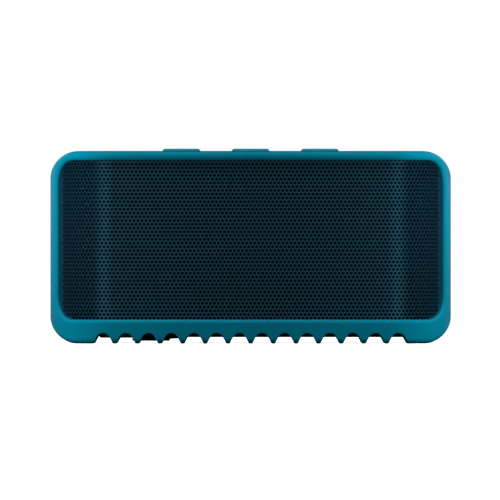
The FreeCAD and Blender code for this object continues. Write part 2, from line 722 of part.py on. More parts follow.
def roll(name, middle, radius, x, y, outward):
    """A half roll of rubber that bulges from y outward: -1 towards the front, 1 towards the rear."""
    tubes = []
    for part, sign in (("out", "+"), ("in", "-")):
        made = bind(new("Part::Torus", f"{name}_{part}"), Radius1=middle,
                    Radius2=f"({radius}) {sign} dims.roll_thick / 2")
        tubes.append(place(made, x, y, "dims.driver_high", TURNS["Y"]))
    start = y if outward > 0 else f"{y} - 5"
    half = rod(f"{name}_half", "30", "5", x, start, "dims.driver_high", "Y")
    return common(name, cut(f"{name}_tube", *tubes), half)


def build_drivers():
    front, high, flange = "dims.driver_front", "dims.driver_high", "0.45 + dims.flange_thick"
    for side, x in SIDES.items():
        where = (x, front, high)
        basket = [
            ("16.9", "0.45"), ("dims.driver_radius", "0.45"), ("dims.driver_radius", flange),
            ("17.8", flange), ("12.8", "8"), ("12.8", "9"), ("9.8", "9"), ("9.8", "7.6"),
            ("11.6", "7.6"), ("16.9", "1.4"),
        ]
        piece(f"driver_frame_{side}", turned(f"driver_frame_{side}", basket, *where))
        magnet = [
            ("0", "9"), ("dims.pole_radius", "9"), ("dims.pole_radius", "14.2"), ("8.2", "14.2"),
            ("8.2", "10.5"), ("dims.gap_radius", "10.5"), ("dims.gap_radius", "9"), ("dims.magnet_radius", "9"),
            ("dims.magnet_radius", "16"), ("0", "16"),
        ]
        piece(f"driver_magnet_{side}", turned(f"driver_magnet_{side}", magnet, *where))
        outer = "dims.coil_radius + 0.5"
        cone = [
            (outer, "4.6"), ("dims.cone_radius", "0.45"), ("dims.cone_radius + 0.8", "0.45"),
            ("dims.cone_radius + 0.8", "0.85"), ("dims.cone_radius + 0.1", "0.85"), (outer, "5.1"),
        ]
        piece(f"driver_cone_{side}", turned(f"driver_cone_{side}", cone, *where))
        coil = [
            ("dims.coil_radius + 0.05", "4.85"), ("dims.coil_radius + 0.5", "4.85"),
            ("dims.coil_radius + 0.5", "12.8"), ("dims.coil_radius + 0.05", "12.8"),
        ]
        piece(f"voice_coil_{side}", turned(f"voice_coil_{side}", coil, *where))
        dome = []
        for part, radius in (("out", "11.7"), ("in", "11.35")):
            ball = bind(new("Part::Sphere", f"dome_{part}_{side}"), Radius=radius)
            dome.append(place(ball, x, f"{front} + 14.1", high))
        slug = rod(f"dome_slug_{side}", "dims.coil_radius + 0.1", "3", x, f"{front} + 2", high, "Y")
        piece(f"dust_cap_{side}", common(f"dust_cap_{side}", cut(f"dome_{side}", *dome), slug))
        spider = [("6.85", "7.15"), ("11.4", "7.15"), ("11.4", "7.55"), ("6.85", "7.55")]
        piece(f"driver_spider_{side}", turned(f"driver_spider_{side}", spider, *where))
        lips = [
            ring(f"lip_in_{side}", "14.4", "13.4", "0.4", x, front, high, "Y"),
            ring(f"lip_out_{side}", "19.9", "16.7", "0.4", x, front, high, "Y"),
        ]
        bulge = roll(f"roll_{side}", "15.45", "1.25", x, f"{front} + 0.2", -1)
        piece(f"driver_surround_{side}", fuse(f"driver_surround_{side}", bulge, *lips))

    rear, about = "-dims.driver_front", Rotation(Vector(0, 0, 1), 180)
    frame = [
        ("18.3", "0.45"), ("dims.radiator_radius", "0.45"), ("dims.radiator_radius", flange), ("18.3", flange),
    ]
    made = turned("radiator_frame", frame, "0", rear, high)
    piece("radiator_frame", place(made, "0", rear, high, about))
    rim = "dims.plate_radius + 1.9"
    plate = [("0", "0.45"), (rim, "0.45"), (rim, "1.6"), ("0", "1.6")]
    made = turned("radiator_plate", plate, "0", rear, high)
    piece("radiator_plate", place(made, "0", rear, high, about))
    lips = [
        ring("radiator_lip_in", "14.2", "12.4", "0.4", "0", f"{rear} - 0.4", high, "Y"),
        ring("radiator_lip_out", "21.9", "18.2", "0.4", "0", f"{rear} - 0.4", high, "Y"),
    ]
    bulge = roll("radiator_roll", "16.2", "2.2", "0", f"{rear} - 0.2", 1)
    piece("radiator_surround", fuse("radiator_surround", bulge, *lips))

    ledge = "dims.body_deep / 2 - dims.chassis_inset - dims.chassis_wall - dims.seat_thick"
    gaskets = []
    for side, x in SIDES.items():
        where = (x, f"-({ledge}) + 0.05", high, "Y")
        gaskets.append(ring(f"gasket_{side}", "dims.driver_radius", "17.3", "0.4", *where))
    where = ("0", f"{ledge} - 0.45", high, "Y")
    gaskets.append(ring("gasket_rear", "dims.radiator_radius", "19.3", "0.4", *where))
    piece("seat_gaskets", group("seat_gaskets", *gaskets))


def build_microphone():
    boot = ring("boot_tube", "3", "2", "2.6", "0", "-22.65", "48", "Y")
    cap = ring("boot_front", "2.5", "0.8", "0.5", "0", "-22.65", "48", "Y")
    piece("microphone_boot", fuse("microphone_boot", boot, cap))
    piece("microphone", rod("microphone", "1.95", "1.9", "0", "-22.1", "48", "Y"))


# ---- buttons, switches and boards ----------------------------------------------------------------------------


def symbol(name, x):
    """What is sunk into a button's top: a bar, a ring or a cross."""
    high = "dims.body_tall + dims.button_proud - 0.3"
    if name == "call":
        return [ring("mark_call", "1.9", "1.2", "1", x, "0", high)]
    marks = [box(f"mark_{name}", "4.4", "0.8", "1", f"{x} - 2.2", "-0.4", high)]
    if name == "volume_up":
        marks.append(box("mark_cross", "0.8", "4.4", "1", f"{x} - 0.4", "-2.2", high))
    return marks


def build_buttons():
    top = "dims.body_tall + dims.button_proud"
    ceiling = "dims.body_tall - dims.roof"
    switches = []
    board_top = "dims.board_high + dims.board_thick"

    def at_top(edge):
        return edge.BoundBox.ZMin > size_of(top) - 0.01

    for name, x in BUTTONS.items():
        cap = upright(f"{name}_cap", "dims.button_wide", "dims.button_deep", "dims.button_round",
                      f"{ceiling} - 0.5", top, x)
        domed = rounded_edges(f"{name}_domed", cap, "dims.button_dome", at_top)
        flange = upright(f"{name}_flange", "dims.button_wide + 2", "dims.button_deep + 2",
                         "dims.button_round + 1", f"{ceiling} - 1", f"{ceiling} - 0.15", x)
        stem = rod(f"{name}_stem", "1.6", f"{ceiling} - 0.5 - 56.05", x, "0", "56.05")
        whole = fuse(f"{name}_whole", domed, flange, stem)
        piece(f"{name}_button", cut(f"{name}_button", whole, *symbol(name, x)))
        crown = f"{board_top} + dims.switch_tall + dims.plunger_proud"
        piece(f"{name}_plunger", rod(f"{name}_plunger", "dims.plunger_radius", "2.2", x, "0", f"{crown} - 2.2"))
        case = upright(f"{name}_case", "dims.switch_wide", "dims.switch_wide", "0.6", board_top,
                       f"{board_top} + dims.switch_tall", x)
        bore = rod(f"{name}_bore", "dims.plunger_radius + 0.3", "3", x, "0", f"{board_top} + 1")
        switches.append(cut(f"{name}_switch", case, bore))
    piece("tact_switches", group("tact_switches", *switches))


def build_main_board():
    spots = [(a, b) for a in (-37, 37) for b in (-6, 6)]
    blank = upright("board_blank", "dims.board_wide", "dims.board_deep", "2", "dims.board_high",
                    "dims.board_high + dims.board_thick")
    holes = []
    for n, (x, y) in enumerate(spots):
        holes.append(rod(f"board_hole_{n}", "1.4", "4", x, y, "dims.board_high - 1"))
    piece("main_board", cut("main_board", blank, *holes))
    under = "dims.board_high"
    piece("bluetooth_module", block("bluetooth_module", "11", "15", "2.2", "-12", "0", f"{under} - 1.1"))
    chips = []
    for n, (long, deep, x, y) in enumerate(((7, 7, 12, 3), (4, 4, 22, -4), (5, 4, 4, -6), (4, 5, -22, -1))):
        chips.append(block(f"chip_{n}", long, deep, "1", x, y, f"{under} - 0.5"))
    piece("board_chips", group("board_chips", *chips))
    cans = [rod(f"capacitor_{n}", "2.5", "5.2", 20 + 6 * n, 7, f"{under} - 5.2") for n in range(3)]
    piece("board_capacitors", group("board_capacitors", *cans))
    sockets = [
        block("socket_battery", "6", "5", "4", "-28.8", "6", f"{under} - 2"),
        block("socket_left", "5", "4", "4", "-20", "-8", f"{under} - 2"),
        block("socket_right", "5", "4", "4", "20", "-8", f"{under} - 2"),
    ]
    piece("board_sockets", group("board_sockets", *sockets))
    screws = []
    for n, (x, y) in enumerate(spots):
        screws.append(screw(f"board_screw_{n}", "1.05", "2.1", "1.2", "4", x, y, f"{under} - 1.2", "Z"))
    for n, z in enumerate(("25.35", "48.3")):
        made = screw(f"rail_screw_{n}", "0.8", "1.05", "0.7", "3.8", "57", "2.5", z, "Y")
        turn = Rotation(Vector(0, 0, 1), 180)
        made.Placement = FreeCAD.Placement(Vector(114, 0, 0), turn)
        screws.append(made)
    piece("board_screws", group("board_screws", *screws))


def build_battery():
    long, y, z = "dims.cell_long", "dims.cell_deep", "dims.cell_high"
    piece("battery_cell", rod("battery_cell", "dims.cell_radius", long, f"-({long}) / 2", y, z, "X"))
    low = "dims.floor_high + dims.play + dims.chassis_wall + 0.05"
    blank = box("tray_blank", f"{long} + 5.8", "19", "12.8", f"-({long}) / 2 - 2.9", f"{y} - 9.9", low)
    channel = rod("tray_channel", "dims.cell_radius + 0.05", f"{long} + 4", f"-({long}) / 2 - 2", y, z, "X")
    above = box("tray_above", f"{long} + 4", "40", "20", f"-({long}) / 2 - 2", "-20", "16")
    piece("battery_tray", cut("battery_tray", blank, channel, above))


def build_wires():
    red_black = []
    for n, y in enumerate((5, 7)):
        points = [("-32.6", y, "25.5"), ("-36.5", y, "25.5"), ("-36.5", y, "44"), ("-28.8", y, "44"),
                  ("-28.8", y, "46.95")]
        red_black.append(wire_along(f"battery_wire_{n}", "0.6", points))
    piece("battery_lead", group("battery_lead", *red_black))
    thin = []
    for side in (-1, 1):
        for n in (-1, 1):
            start = f"{side} * (29 - {n} * 0.6)"
            high = f"47.9 - {n} * 0.6"
            end = f"{side} * (20 - {n} * 0.6)"
            points = [(start, "-11.95", "45.45"), (start, "-11.95", high), (end, "-11.95", high),
                      (end, "-10.05", high)]
            thin.append(wire_along(f"driver_wire_{side}_{n}", "0.45", points))
    points = [("0", "-20.15", "48"), ("0", "-12.4", "48"), ("0", "-12.4", "50.4"), ("0", "-10.2", "50.4")]
    thin.append(wire_along("microphone_wire", "0.45", points))
    piece("inner_wires", group("inner_wires", *thin))
    ports = []
    for n in range(4):
        y, z = f"-1.5 + {n}", f"40 + {n}"
        points = [("46", "-3.15", z), ("46", y, z), ("39.2", y, z), ("39.2", y, "dims.board_high - 0.05")]
        ports.append(wire_along(f"port_wire_{n}", "0.35", points))
    piece("port_wires", group("port_wires", *ports))


# ---- port panel ----------------------------------------------------------------------------------------------


def build_ports():
    face, thick = "dims.panel_face", "dims.panel_thick"
    board_face = "-3.2"
    blank = box("port_blank", "14.4", "1.2", "32.9", "44", f"{board_face} - 1.2", "16.5")
    holes = [rod(f"port_hole_{n}", "0.95", "4", "57", "-6", z, "Y") for n, z in enumerate(("25.35", "48.3"))]
    piece("port_board", cut("port_board", blank, *holes))

    trim = sideways("trim_blank", "dims.panel_wide", "dims.panel_tall", "2.5", thick,
                    f"{face} - {thick}", "0", "dims.panel_high")
    start = f"{face} - {thick} - 1"
    openings = [
        rod("trim_jack", "3.15", "8", start, "0", "dims.jack_high", "X"),
        sideways("trim_usb", "3.2", "8.1", "0.8", "8", start, "0", "dims.usb_high"),
        rod("trim_guide", "1.05", "8", start, "0", "dims.guide_high", "X"),
        sideways("trim_knob", "3.7", "5.1 + 2 * dims.knob_travel", "0.5", "8", start, "0", "dims.knob_high"),
    ]
    piece("port_trim", cut("port_trim", trim, *openings))

    shell = fuse("jack_shell", block("jack_case", "12", "6.3", "6.2", f"{face} - 9.5", "0", "dims.jack_high"),
                 rod("jack_nose", "3", "4", f"{face} - 4", "0", "dims.jack_high", "X"))
    piece("audio_jack", cut("audio_jack", shell, rod("jack_bore", "dims.jack_bore", "15",
                                                    f"{face} - 14", "0", "dims.jack_high", "X")))

    outer = sideways("usb_outer", "2.7", "7.6", "0.6", "5.5", f"{face} - 5.8", "0", "dims.usb_high")
    inner = sideways("usb_inner", "2.1", "7", "0.4", "6", f"{face} - 5.3", "0", "dims.usb_high")
    tongue = block("usb_tongue", "4", "0.6", "4", f"{face} - 3.2", "0", "dims.usb_high")
    foot = block("usb_foot", "5", "1.8", "7", f"{face} - 8.5", "-2.28", "dims.usb_high")
    back = block("usb_back", "1.4", "3", "7", f"{face} - 6", "-0.9", "dims.usb_high")
    socket = fuse("usb_socket", cut("usb_shell", outer, inner), tongue, foot, back)
    bridge = block("usb_bridge", "1.4", "2.1", "4", f"{face} - 5.6", "0", "dims.usb_high")
    socket.Shapes = socket.Shapes + [bridge]
    piece("usb_socket", socket)

    high = "dims.knob_high"
    case = block("switch_case", "4", "6.35", "7.3", f"{face} - 5.8", "0", high)
    slot = block("switch_slot", "3", "2", "6.8", f"{face} - 4.5", "0", high)
    piece("power_switch_body", cut("power_switch_body", case, slot))
    lever = block("knob_lever", "3.2", "1.3", "2.2", f"{face} - 4", "0", high)
    grip = sideways("knob_grip", "3", "4.5", "0.4", "3", f"{face} - 2.5", "0", high)
    ribs = []
    for n in (-1, 0, 1):
        ribs.append(block(f"knob_rib_{n}", "1", "4", "0.5", f"{face} + 0.6", "0", f"{high} + {n} * 1.1"))
    piece("power_switch_knob", cut("power_switch_knob", fuse("knob_whole", lever, grip), *ribs))

    piece("light_guide", rod("light_guide", "1", "3.6", f"{face} - 3.55", "0", "dims.guide_high", "X"))
    piece("status_led", block("status_led", "1.8", "4.15", "1.8", f"{face} - 4.5", "-1.1", "dims.guide_high"))


build_skin()
build_sole()
build_lead()
build_fronts()
build_frame()
build_drivers()
build_microphone()
build_buttons()
build_main_board()
build_battery()
build_wires()
build_ports()
doc.recompute()

faults = [f"{thing.Name}: {thing.State}" for thing in doc.Objects if {"Invalid", "Error"} & set(thing.State)]
for name, thing in pieces.items():
    if thing.Shape.isNull() or not thing.Shape.isValid() or not thing.Shape.Solids:
        faults.append(f"{name}: no valid shape")
if faults:
    raise RuntimeError("; ".join(faults))

os.makedirs("parts", exist_ok=True)
for name, thing in pieces.items():
    thing.Shape.exportStep(f"parts/{name}.step")
print(len(pieces), "pieces written")
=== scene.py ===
"""Looks of the portable loudspeaker: its materials, perforated grilles, soft lights and camera.

Metres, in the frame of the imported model. X runs along the front to the right, Y to the rear, Z up."""

import json
import math

import bpy
from mathutils import Matrix, Vector


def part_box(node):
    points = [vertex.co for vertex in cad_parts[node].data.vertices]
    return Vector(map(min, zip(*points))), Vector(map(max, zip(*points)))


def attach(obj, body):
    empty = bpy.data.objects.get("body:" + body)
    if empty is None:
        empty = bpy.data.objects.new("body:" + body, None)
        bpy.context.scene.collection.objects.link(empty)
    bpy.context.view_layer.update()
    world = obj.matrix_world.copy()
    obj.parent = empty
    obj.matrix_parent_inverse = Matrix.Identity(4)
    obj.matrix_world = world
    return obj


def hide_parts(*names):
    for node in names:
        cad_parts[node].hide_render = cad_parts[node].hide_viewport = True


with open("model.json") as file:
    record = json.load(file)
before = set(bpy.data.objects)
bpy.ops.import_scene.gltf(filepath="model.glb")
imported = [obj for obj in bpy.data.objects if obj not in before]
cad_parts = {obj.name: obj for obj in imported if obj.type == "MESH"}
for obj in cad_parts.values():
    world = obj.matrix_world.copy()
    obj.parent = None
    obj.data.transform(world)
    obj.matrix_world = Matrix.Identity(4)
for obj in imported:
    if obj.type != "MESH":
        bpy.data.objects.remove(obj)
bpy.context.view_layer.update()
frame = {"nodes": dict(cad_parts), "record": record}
scene = bpy.context.scene
NODES = frame["nodes"]
MM = 0.001

# The body's plan has corners of PLAN_ROUND, each round a hub that lies HUB_ACROSS and HUB_DEEP from the middle.
PLAN_ROUND = 19.8 * MM
HUB_ACROSS = 43.2 * MM
HUB_DEEP = 7.2 * MM

# ---- camera --------------------------------------------------------------------------------------

# VIEW_WIDE is how much the picture spans at the body's outline, SIDE_DEEP behind the middle.
CAMERA_AWAY = 3.5
CAMERA_HIGH = 0.02934
CAMERA_ACROSS = -0.0002
VIEW_WIDE = 0.15738
SIDE_DEEP = -0.0072


def add_camera():
    """A long lens square to the front, level with the middle of the picture."""
    lens = bpy.data.cameras.new("front_camera")
    lens.sensor_width = 36.0
    lens.lens = lens.sensor_width * (CAMERA_AWAY + SIDE_DEEP) / VIEW_WIDE
    lens.clip_start, lens.clip_end = 0.1, 100.0
    camera = bpy.data.objects.new("front_camera", lens)
    camera.location = (CAMERA_ACROSS, -CAMERA_AWAY, CAMERA_HIGH)
    camera.rotation_euler = (math.radians(90), 0.0, 0.0)
    scene.collection.objects.link(camera)
    scene.camera = camera


# ---- materials -----------------------------------------------------------------------------------


def tint(red, green, blue):
    """The linear colour of three display values from 0 to 255."""
    shares = (value / 255 for value in (red, green, blue))
    return tuple(s / 12.92 if s < 0.04045 else ((s + 0.055) / 1.055) ** 2.4 for s in shares)


class Finish:
    """A material being made: its patterns feed the colour, roughness and normal of one shader."""

    def __init__(self, name, colour, roughness, metallic=0.0, specular=0.5):
        self.material = bpy.data.materials.new(name)
        self.material.use_nodes = True
        self.nodes = self.material.node_tree.nodes
        self.links = self.material.node_tree.links
        self.shader = self.nodes["Principled BSDF"]
        self.shader.inputs["Base Color"].default_value = (*colour, 1.0)
        self.shader.inputs["Roughness"].default_value = roughness
        self.shader.inputs["Metallic"].default_value = metallic
        self.shader.inputs["Specular IOR Level"].default_value = specular
        self.material.diffuse_color = (*colour, 1.0)
        self.material.roughness = roughness
        self.material.metallic = metallic
        self.place = self.nodes.new("ShaderNodeTexCoord").outputs["Object"]

    def add(self, kind, values=(), **settings):
        """A new node: values is a list of (input, number or output)."""
        node = self.nodes.new(kind)
        for name, value in settings.items():
            setattr(node, name, value)
        for socket, value in values:
            if isinstance(value, bpy.types.NodeSocket):
                self.links.new(value, node.inputs[socket])
            else:
                node.inputs[socket].default_value = value
        return node

    def sum(self, operation, *values):
        return self.add("ShaderNodeMath", list(enumerate(values)), operation=operation).outputs[0]

    def axis(self, letter):
        parts = self.add("ShaderNodeSeparateXYZ", [(0, self.place)])
        return parts.outputs[letter]

    def noise(self, size, detail=2.0, stretch=(1, 1, 1), low=0.3, high=0.7):
        """Soft lumps about size metres across, from 0 to 1, drawn out along an axis by stretch."""
        spot = self.add("ShaderNodeMapping", [(0, self.place), (3, tuple(1 / s for s in stretch))])
        values = [("Vector", spot.outputs[0]), ("Scale", 1 / size), ("Detail", detail)]
        return self.ramp(self.add("ShaderNodeTexNoise", values).outputs[0], low, high)

    def waves(self, letter, pitch):
        """A smooth wave along one axis, from 0 to 1."""
        turns = self.sum("MULTIPLY", self.axis(letter), 2 * math.pi / pitch)
        return self.sum("MULTIPLY_ADD", self.sum("SINE", turns), 0.5, 0.5)

    def ramp(self, value, start, end):
        """0 where the value is at start, 1 at end, and straight between."""
        return self.add("ShaderNodeMapRange", [(0, value), (1, start), (2, end)]).outputs[0]

    def band(self, letter, low, high):
        """1 between two places along an axis and 0 outside, with narrow soft edges."""
        along, soft = self.axis(letter), BAND_SOFT
        rise, fall = self.ramp(along, low - soft, low + soft), self.ramp(along, high + soft, high - soft)
        return self.sum("MULTIPLY", rise, fall)

    def shade(self, mask, colour, amount=1.0):
        """Mixes the base colour towards another one by a mask."""
        before = self.shader.inputs["Base Color"]
        mix = self.add("ShaderNodeMix", data_type="RGBA")
        a, b = mix.inputs[6], mix.inputs[7]
        if before.is_linked:
            self.links.new(before.links[0].from_socket, a)
        else:
            a.default_value = before.default_value
        b.default_value = (*colour, 1.0)
        self.links.new(self.sum("MULTIPLY", mask, amount), mix.inputs[0])
        self.links.new(mix.outputs[2], before)
        return self

    def gloss(self, mask, low, high):
        """Roughness from low to high by a mask."""
        fitted = [(0, mask), (3, low), (4, high)]
        self.links.new(self.add("ShaderNodeMapRange", fitted).outputs[0], self.shader.inputs["Roughness"])
        return self

    def relief(self, mask, depth):
        """Raises the surface by depth metres where the mask is 1."""
        normal = self.shader.inputs["Normal"]
        bump = self.add("ShaderNodeBump", [("Strength", 1.0), ("Distance", depth), ("Height", mask)])
        if normal.is_linked:
            self.links.new(normal.links[0].from_socket, bump.inputs["Normal"])
        self.links.new(bump.outputs[0], normal)
        return self

    def set(self, **sockets):
        for name, value in sockets.items():
            self.shader.inputs[name.replace("_", " ").title().replace("Ior", "IOR")].default_value = value
        return self


def silicone(name, colour, dark, light):
    """Satin moulded silicone: fine grain, slow change of tone and a few palmed, smoother places."""
    made = Finish(name, colour, 0.55, specular=0.05)
    made.shade(made.noise(14 * MM, 3.0), dark, 0.35)
    made.shade(made.noise(0.5 * MM, 2.0), light, 0.12)
    made.gloss(made.noise(9 * MM, 4.0), 0.5, 0.64)
    made.relief(made.noise(0.16 * MM, 2.0), 0.004 * MM)
    made.relief(made.noise(2.6 * MM, 2.0), 0.01 * MM)
    return made


def painted_lip_shade(made, dark):
    """Paints shade on the window lips: they darken with their depth below the wrapped outer face, as the recess
    lies in shade.
    """
    overs = []
    for letter, hub in (("X", HUB_ACROSS), ("Y", HUB_DEEP)):
        past = made.sum("SUBTRACT", made.sum("ABSOLUTE", made.axis(letter)), hub)
        overs.append(made.sum("POWER", made.sum("MAXIMUM", past, 0.0), 2.0))
    reach = made.sum("SQRT", made.sum("ADD", *overs))
    # Painted shade: the lips turn towards the dark colour with their depth under the outer face.
    made.shade(made.ramp(reach, PLAN_ROUND - LIP_SHADE_START, PLAN_ROUND - LIP_SHADE_END), dark, 0.6)
    return made


def painted_steel(name, colour, light):
    """Thin satin powder coat with its fine orange peel."""
    made = Finish(name, colour, 0.37, 0.93, 0.5)
    made.shade(made.noise(3 * MM, 4.0), light, 0.25)
    made.gloss(made.noise(1.2 * MM, 3.0), 0.34, 0.41)
    made.relief(made.noise(0.22 * MM, 2.0), 0.006 * MM)
    return made


def cloth(name, colour, light, pitch, depth):
    """Plain weave: two sets of threads crossing, over and under."""
    made = Finish(name, colour, 0.9, specular=0.2)
    warp, weft = made.waves("X", pitch), made.waves("Z", pitch)
    over = made.sum("MULTIPLY", warp, weft)
    made.shade(over, light, 0.8)
    made.shade(made.noise(4 * MM, 3.0), colour, 0.5)
    made.gloss(made.noise(0.4 * MM), 0.82, 0.97)
    made.relief(made.sum("MAXIMUM", warp, weft), depth)
    return made


def plastic(name, colour, roughness, grain=0.25 * MM, depth=0.008 * MM):
    """Moulded plastic with a spark-eroded grain and slight changes of tone."""
    made = Finish(name, colour, roughness)
    light = tuple(min(1.0, c * 1.3 + 0.004) for c in colour)
    made.shade(made.noise(6 * MM, 4.0), light, 0.5)
    made.gloss(made.noise(2 * MM, 3.0), roughness - 0.06, roughness + 0.08)
    made.relief(made.noise(grain, 2.0), depth)
    return made


def metal(name, colour, roughness, stretch=(1, 1, 1), size=0.3 * MM):
    """Bare or plated metal with fine lines along its stretch and faint stains."""
    made = Finish(name, colour, roughness, 1.0)
    made.shade(made.noise(5 * MM, 4.0), tuple(c * 0.72 for c in colour), 0.5)
    made.gloss(made.noise(size, 3.0, stretch), roughness - 0.08, roughness + 0.1)
    made.relief(made.noise(size, 2.0, stretch), 0.004 * MM)
    return made


def foam(name, colour):
    """Open-cell foam: small dark pores."""
    made = Finish(name, colour, 0.95, specular=0.2)
    made.shade(made.noise(0.35 * MM, 3.0, low=0.45, high=0.6), tuple(c * 0.4 for c in colour), 0.8)
    made.gloss(made.noise(1 * MM), 0.88, 1.0)
    made.relief(made.noise(0.35 * MM, 3.0), 0.08 * MM)
    return made


def circuit_board(name):
    """Green solder mask over copper tracks, with plated pads and pale print."""
    made = Finish(name, tint(10, 66, 40), 0.32)
    values = [(0, made.place), ("Scale", 1 / BOARD_CELL)]
    cells = made.add("ShaderNodeTexVoronoi", values, distance="CHEBYCHEV").outputs[0]
    lines = made.ramp(cells, 0.34, 0.37)
    made.shade(lines, tint(24, 104, 58), 0.85)
    made.shade(made.ramp(cells, 0.09, 0.07), tint(196, 168, 96))
    made.gloss(made.noise(1.5 * MM, 3.0), 0.26, 0.4)
    made.relief(lines, 0.02 * MM)
    return made


def plug_metal(name):
    """Black nickel pins with the insulating rings between their contacts."""
    made = Finish(name, tint(120, 116, 108), 0.2, 1.0)
    low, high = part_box("plug_pins")
    for share in (0.30, 0.50, 0.71):
        middle = low.x + (high.x - low.x) * share
        made.shade(made.band("X", middle - RING_HALF, middle + RING_HALF), tint(12, 12, 12))
    made.gloss(made.noise(0.3 * MM, 3.0, (1, 6, 6)), 0.16, 0.3)
    made.relief(made.noise(0.2 * MM, 2.0, (1, 6, 6)), 0.002 * MM)
    return made


def jacket(name, colour):
    """Soft lead jacket with a faint ribbed draw along it."""
    made = Finish(name, colour, 0.5, specular=0.3)
    made.shade(made.noise(3 * MM, 3.0, (6, 1, 1)), tuple(c * 0.7 for c in colour), 0.4)
    made.gloss(made.noise(1 * MM, 3.0, (6, 1, 1)), 0.44, 0.6)
    made.relief(made.noise(0.3 * MM, 2.0, (8, 1, 1)), 0.012 * MM)
    return made


def wound(name, colour, dark, letter, pitch):
    """Fine windings or pleats side by side along an axis, with painted shade in the grooves between them."""
    made = Finish(name, colour, 0.45, specular=0.4)
    rows = made.waves(letter, pitch)
    # Painted shade: the dark colour fills the grooves between the rows, where the relief sinks.
    made.shade(made.sum("SUBTRACT", 1.0, rows), dark, 0.8)
    made.gloss(made.noise(0.8 * MM, 3.0), 0.38, 0.56)
    made.relief(rows, pitch * 0.2)
    return made


def pulp(name, colour):
    """Pressed cone pulp: short fibres lying every way under a thin coat."""
    made = Finish(name, colour, 0.78, specular=0.3)
    fibres = made.noise(0.5 * MM, 4.0, (3, 1, 1))
    made.shade(fibres, tuple(c * 1.9 + 0.01 for c in colour), 0.35)
    made.gloss(made.noise(0.9 * MM, 3.0), 0.7, 0.86)
    made.relief(fibres, 0.05 * MM)
    return made


def lamp_glass(name, colour, rough):
    """Clear or milky moulded plastic that passes light."""
    made = Finish(name, colour, rough)
    made.set(transmission_weight=0.55, ior=1.49)
    made.shade(made.noise(0.8 * MM, 3.0), tuple(c * 0.85 for c in colour), 0.4)
    made.gloss(made.noise(0.6 * MM, 2.0), rough, rough + 0.1)
    made.relief(made.noise(0.3 * MM, 2.0), 0.003 * MM)
    return made


BOARD_CELL = 1 / 380
RING_HALF = 0.35 * MM
BAND_SOFT = 0.05 * MM
# Depths under the sleeve's outer face over which the painted shade on the window lips comes in.
LIP_SHADE_START = 0.35 * MM
LIP_SHADE_END = 0.9 * MM
TEAL = tint(0, 134, 160)
TEAL_DARK = tint(0, 122, 150)
TEAL_LIGHT = tint(24, 150, 176)


def make_finishes():
    """One material for each of the record's slots."""
    black = tint(24, 25, 27)
    # The dark teal given here is painted shade on the sleeve's window lips.
    skin = painted_lip_shade(silicone("teal_silicone", TEAL, TEAL_DARK, TEAL_LIGHT), tint(0, 52, 66))
    return {
        "teal_silicone": skin,
        "sole_silicone": silicone("sole_silicone", TEAL, TEAL_DARK, TEAL_LIGHT),
        "button_silicone": silicone("button_silicone", tint(34, 146, 170), TEAL, tint(60, 160, 182)),
        "grille_metal": painted_steel("grille_metal", tint(76, 148, 176), tint(88, 158, 184)),
        "speaker_cloth": cloth("speaker_cloth", tint(1, 26, 46), tint(5, 38, 60), 0.32 * MM, 0.05 * MM),
        "frame_plastic": plastic("frame_plastic", black, 0.55),
        "seal_foam": foam("seal_foam", tint(38, 38, 40)),
        "basket_metal": metal("basket_metal", tint(70, 72, 74), 0.45),
        "magnet_metal": metal("magnet_metal", tint(176, 178, 182), 0.32, size=0.6 * MM),
        "surround_rubber": silicone("surround_rubber", tint(30, 31, 33), tint(22, 23, 25), tint(46, 47, 49)),
        "cone_paper": pulp("cone_paper", tint(34, 34, 36)),
        # The coil former's darker colour is painted shade in the grooves between its windings.
        "coil_former": wound("coil_former", tint(196, 120, 66), tint(120, 62, 26), "Y", 0.2 * MM),
        "spider_cloth": cloth("spider_cloth", tint(176, 130, 56), tint(210, 168, 92), 0.5 * MM, 0.08 * MM),
        "radiator_ring": plastic("radiator_ring", black, 0.5),
        "radiator_steel": metal("radiator_steel", tint(150, 152, 156), 0.3, (6, 1, 1)),
        "microphone_can": metal("microphone_can", tint(186, 186, 184), 0.28, (1, 1, 6)),
        "boot_rubber": silicone("boot_rubber", tint(34, 34, 36), tint(26, 26, 28), tint(50, 50, 52)),
        "plunger_plastic": plastic("plunger_plastic", tint(196, 196, 190), 0.45),
        "switch_plastic": plastic("switch_plastic", tint(44, 45, 48), 0.4),
        "board_green": circuit_board("board_green"),
        "shield_can": metal("shield_can", tint(188, 190, 190), 0.26, (8, 1, 1)),
        "chip_black": plastic("chip_black", tint(28, 28, 30), 0.5, 0.1 * MM, 0.006 * MM),
        "capacitor_sleeve": plastic("capacitor_sleeve", tint(30, 44, 84), 0.3),
        "socket_nylon": plastic("socket_nylon", tint(228, 222, 206), 0.48),
        "cell_wrap": plastic("cell_wrap", tint(30, 92, 140), 0.28, 1.5 * MM, 0.03 * MM),
        "tray_plastic": plastic("tray_plastic", black, 0.6),
        "battery_wire": jacket("battery_wire", tint(170, 26, 24)),
        "thin_wire": jacket("thin_wire", tint(190, 188, 182)),
        "socket_shell": metal("socket_shell", tint(196, 197, 198), 0.22, (1, 1, 8)),
        "jack_plastic": plastic("jack_plastic", tint(18, 18, 20), 0.34),
        "knob_plastic": plastic("knob_plastic", tint(30, 31, 33), 0.4),
        "trim_plastic": plastic("trim_plastic", tint(22, 24, 27), 0.42),
        "guide_clear": lamp_glass("guide_clear", tint(226, 234, 236), 0.12),
        "led_package": lamp_glass("led_package", tint(246, 240, 214), 0.3),
        "lead_jacket": jacket("lead_jacket", tint(34, 36, 38)),
        "plug_metal": plug_metal("plug_metal"),
        "screw_steel": metal("screw_steel", tint(120, 120, 122), 0.35),
    }


def dress_nodes(finishes):
    """Gives each CAD node the material of its slot."""
    for entry in frame["record"]["subparts"]:
        node = NODES[entry["node"]]
        node.data.materials.clear()
        node.data.materials.append(finishes[entry["material_slot"]].material)


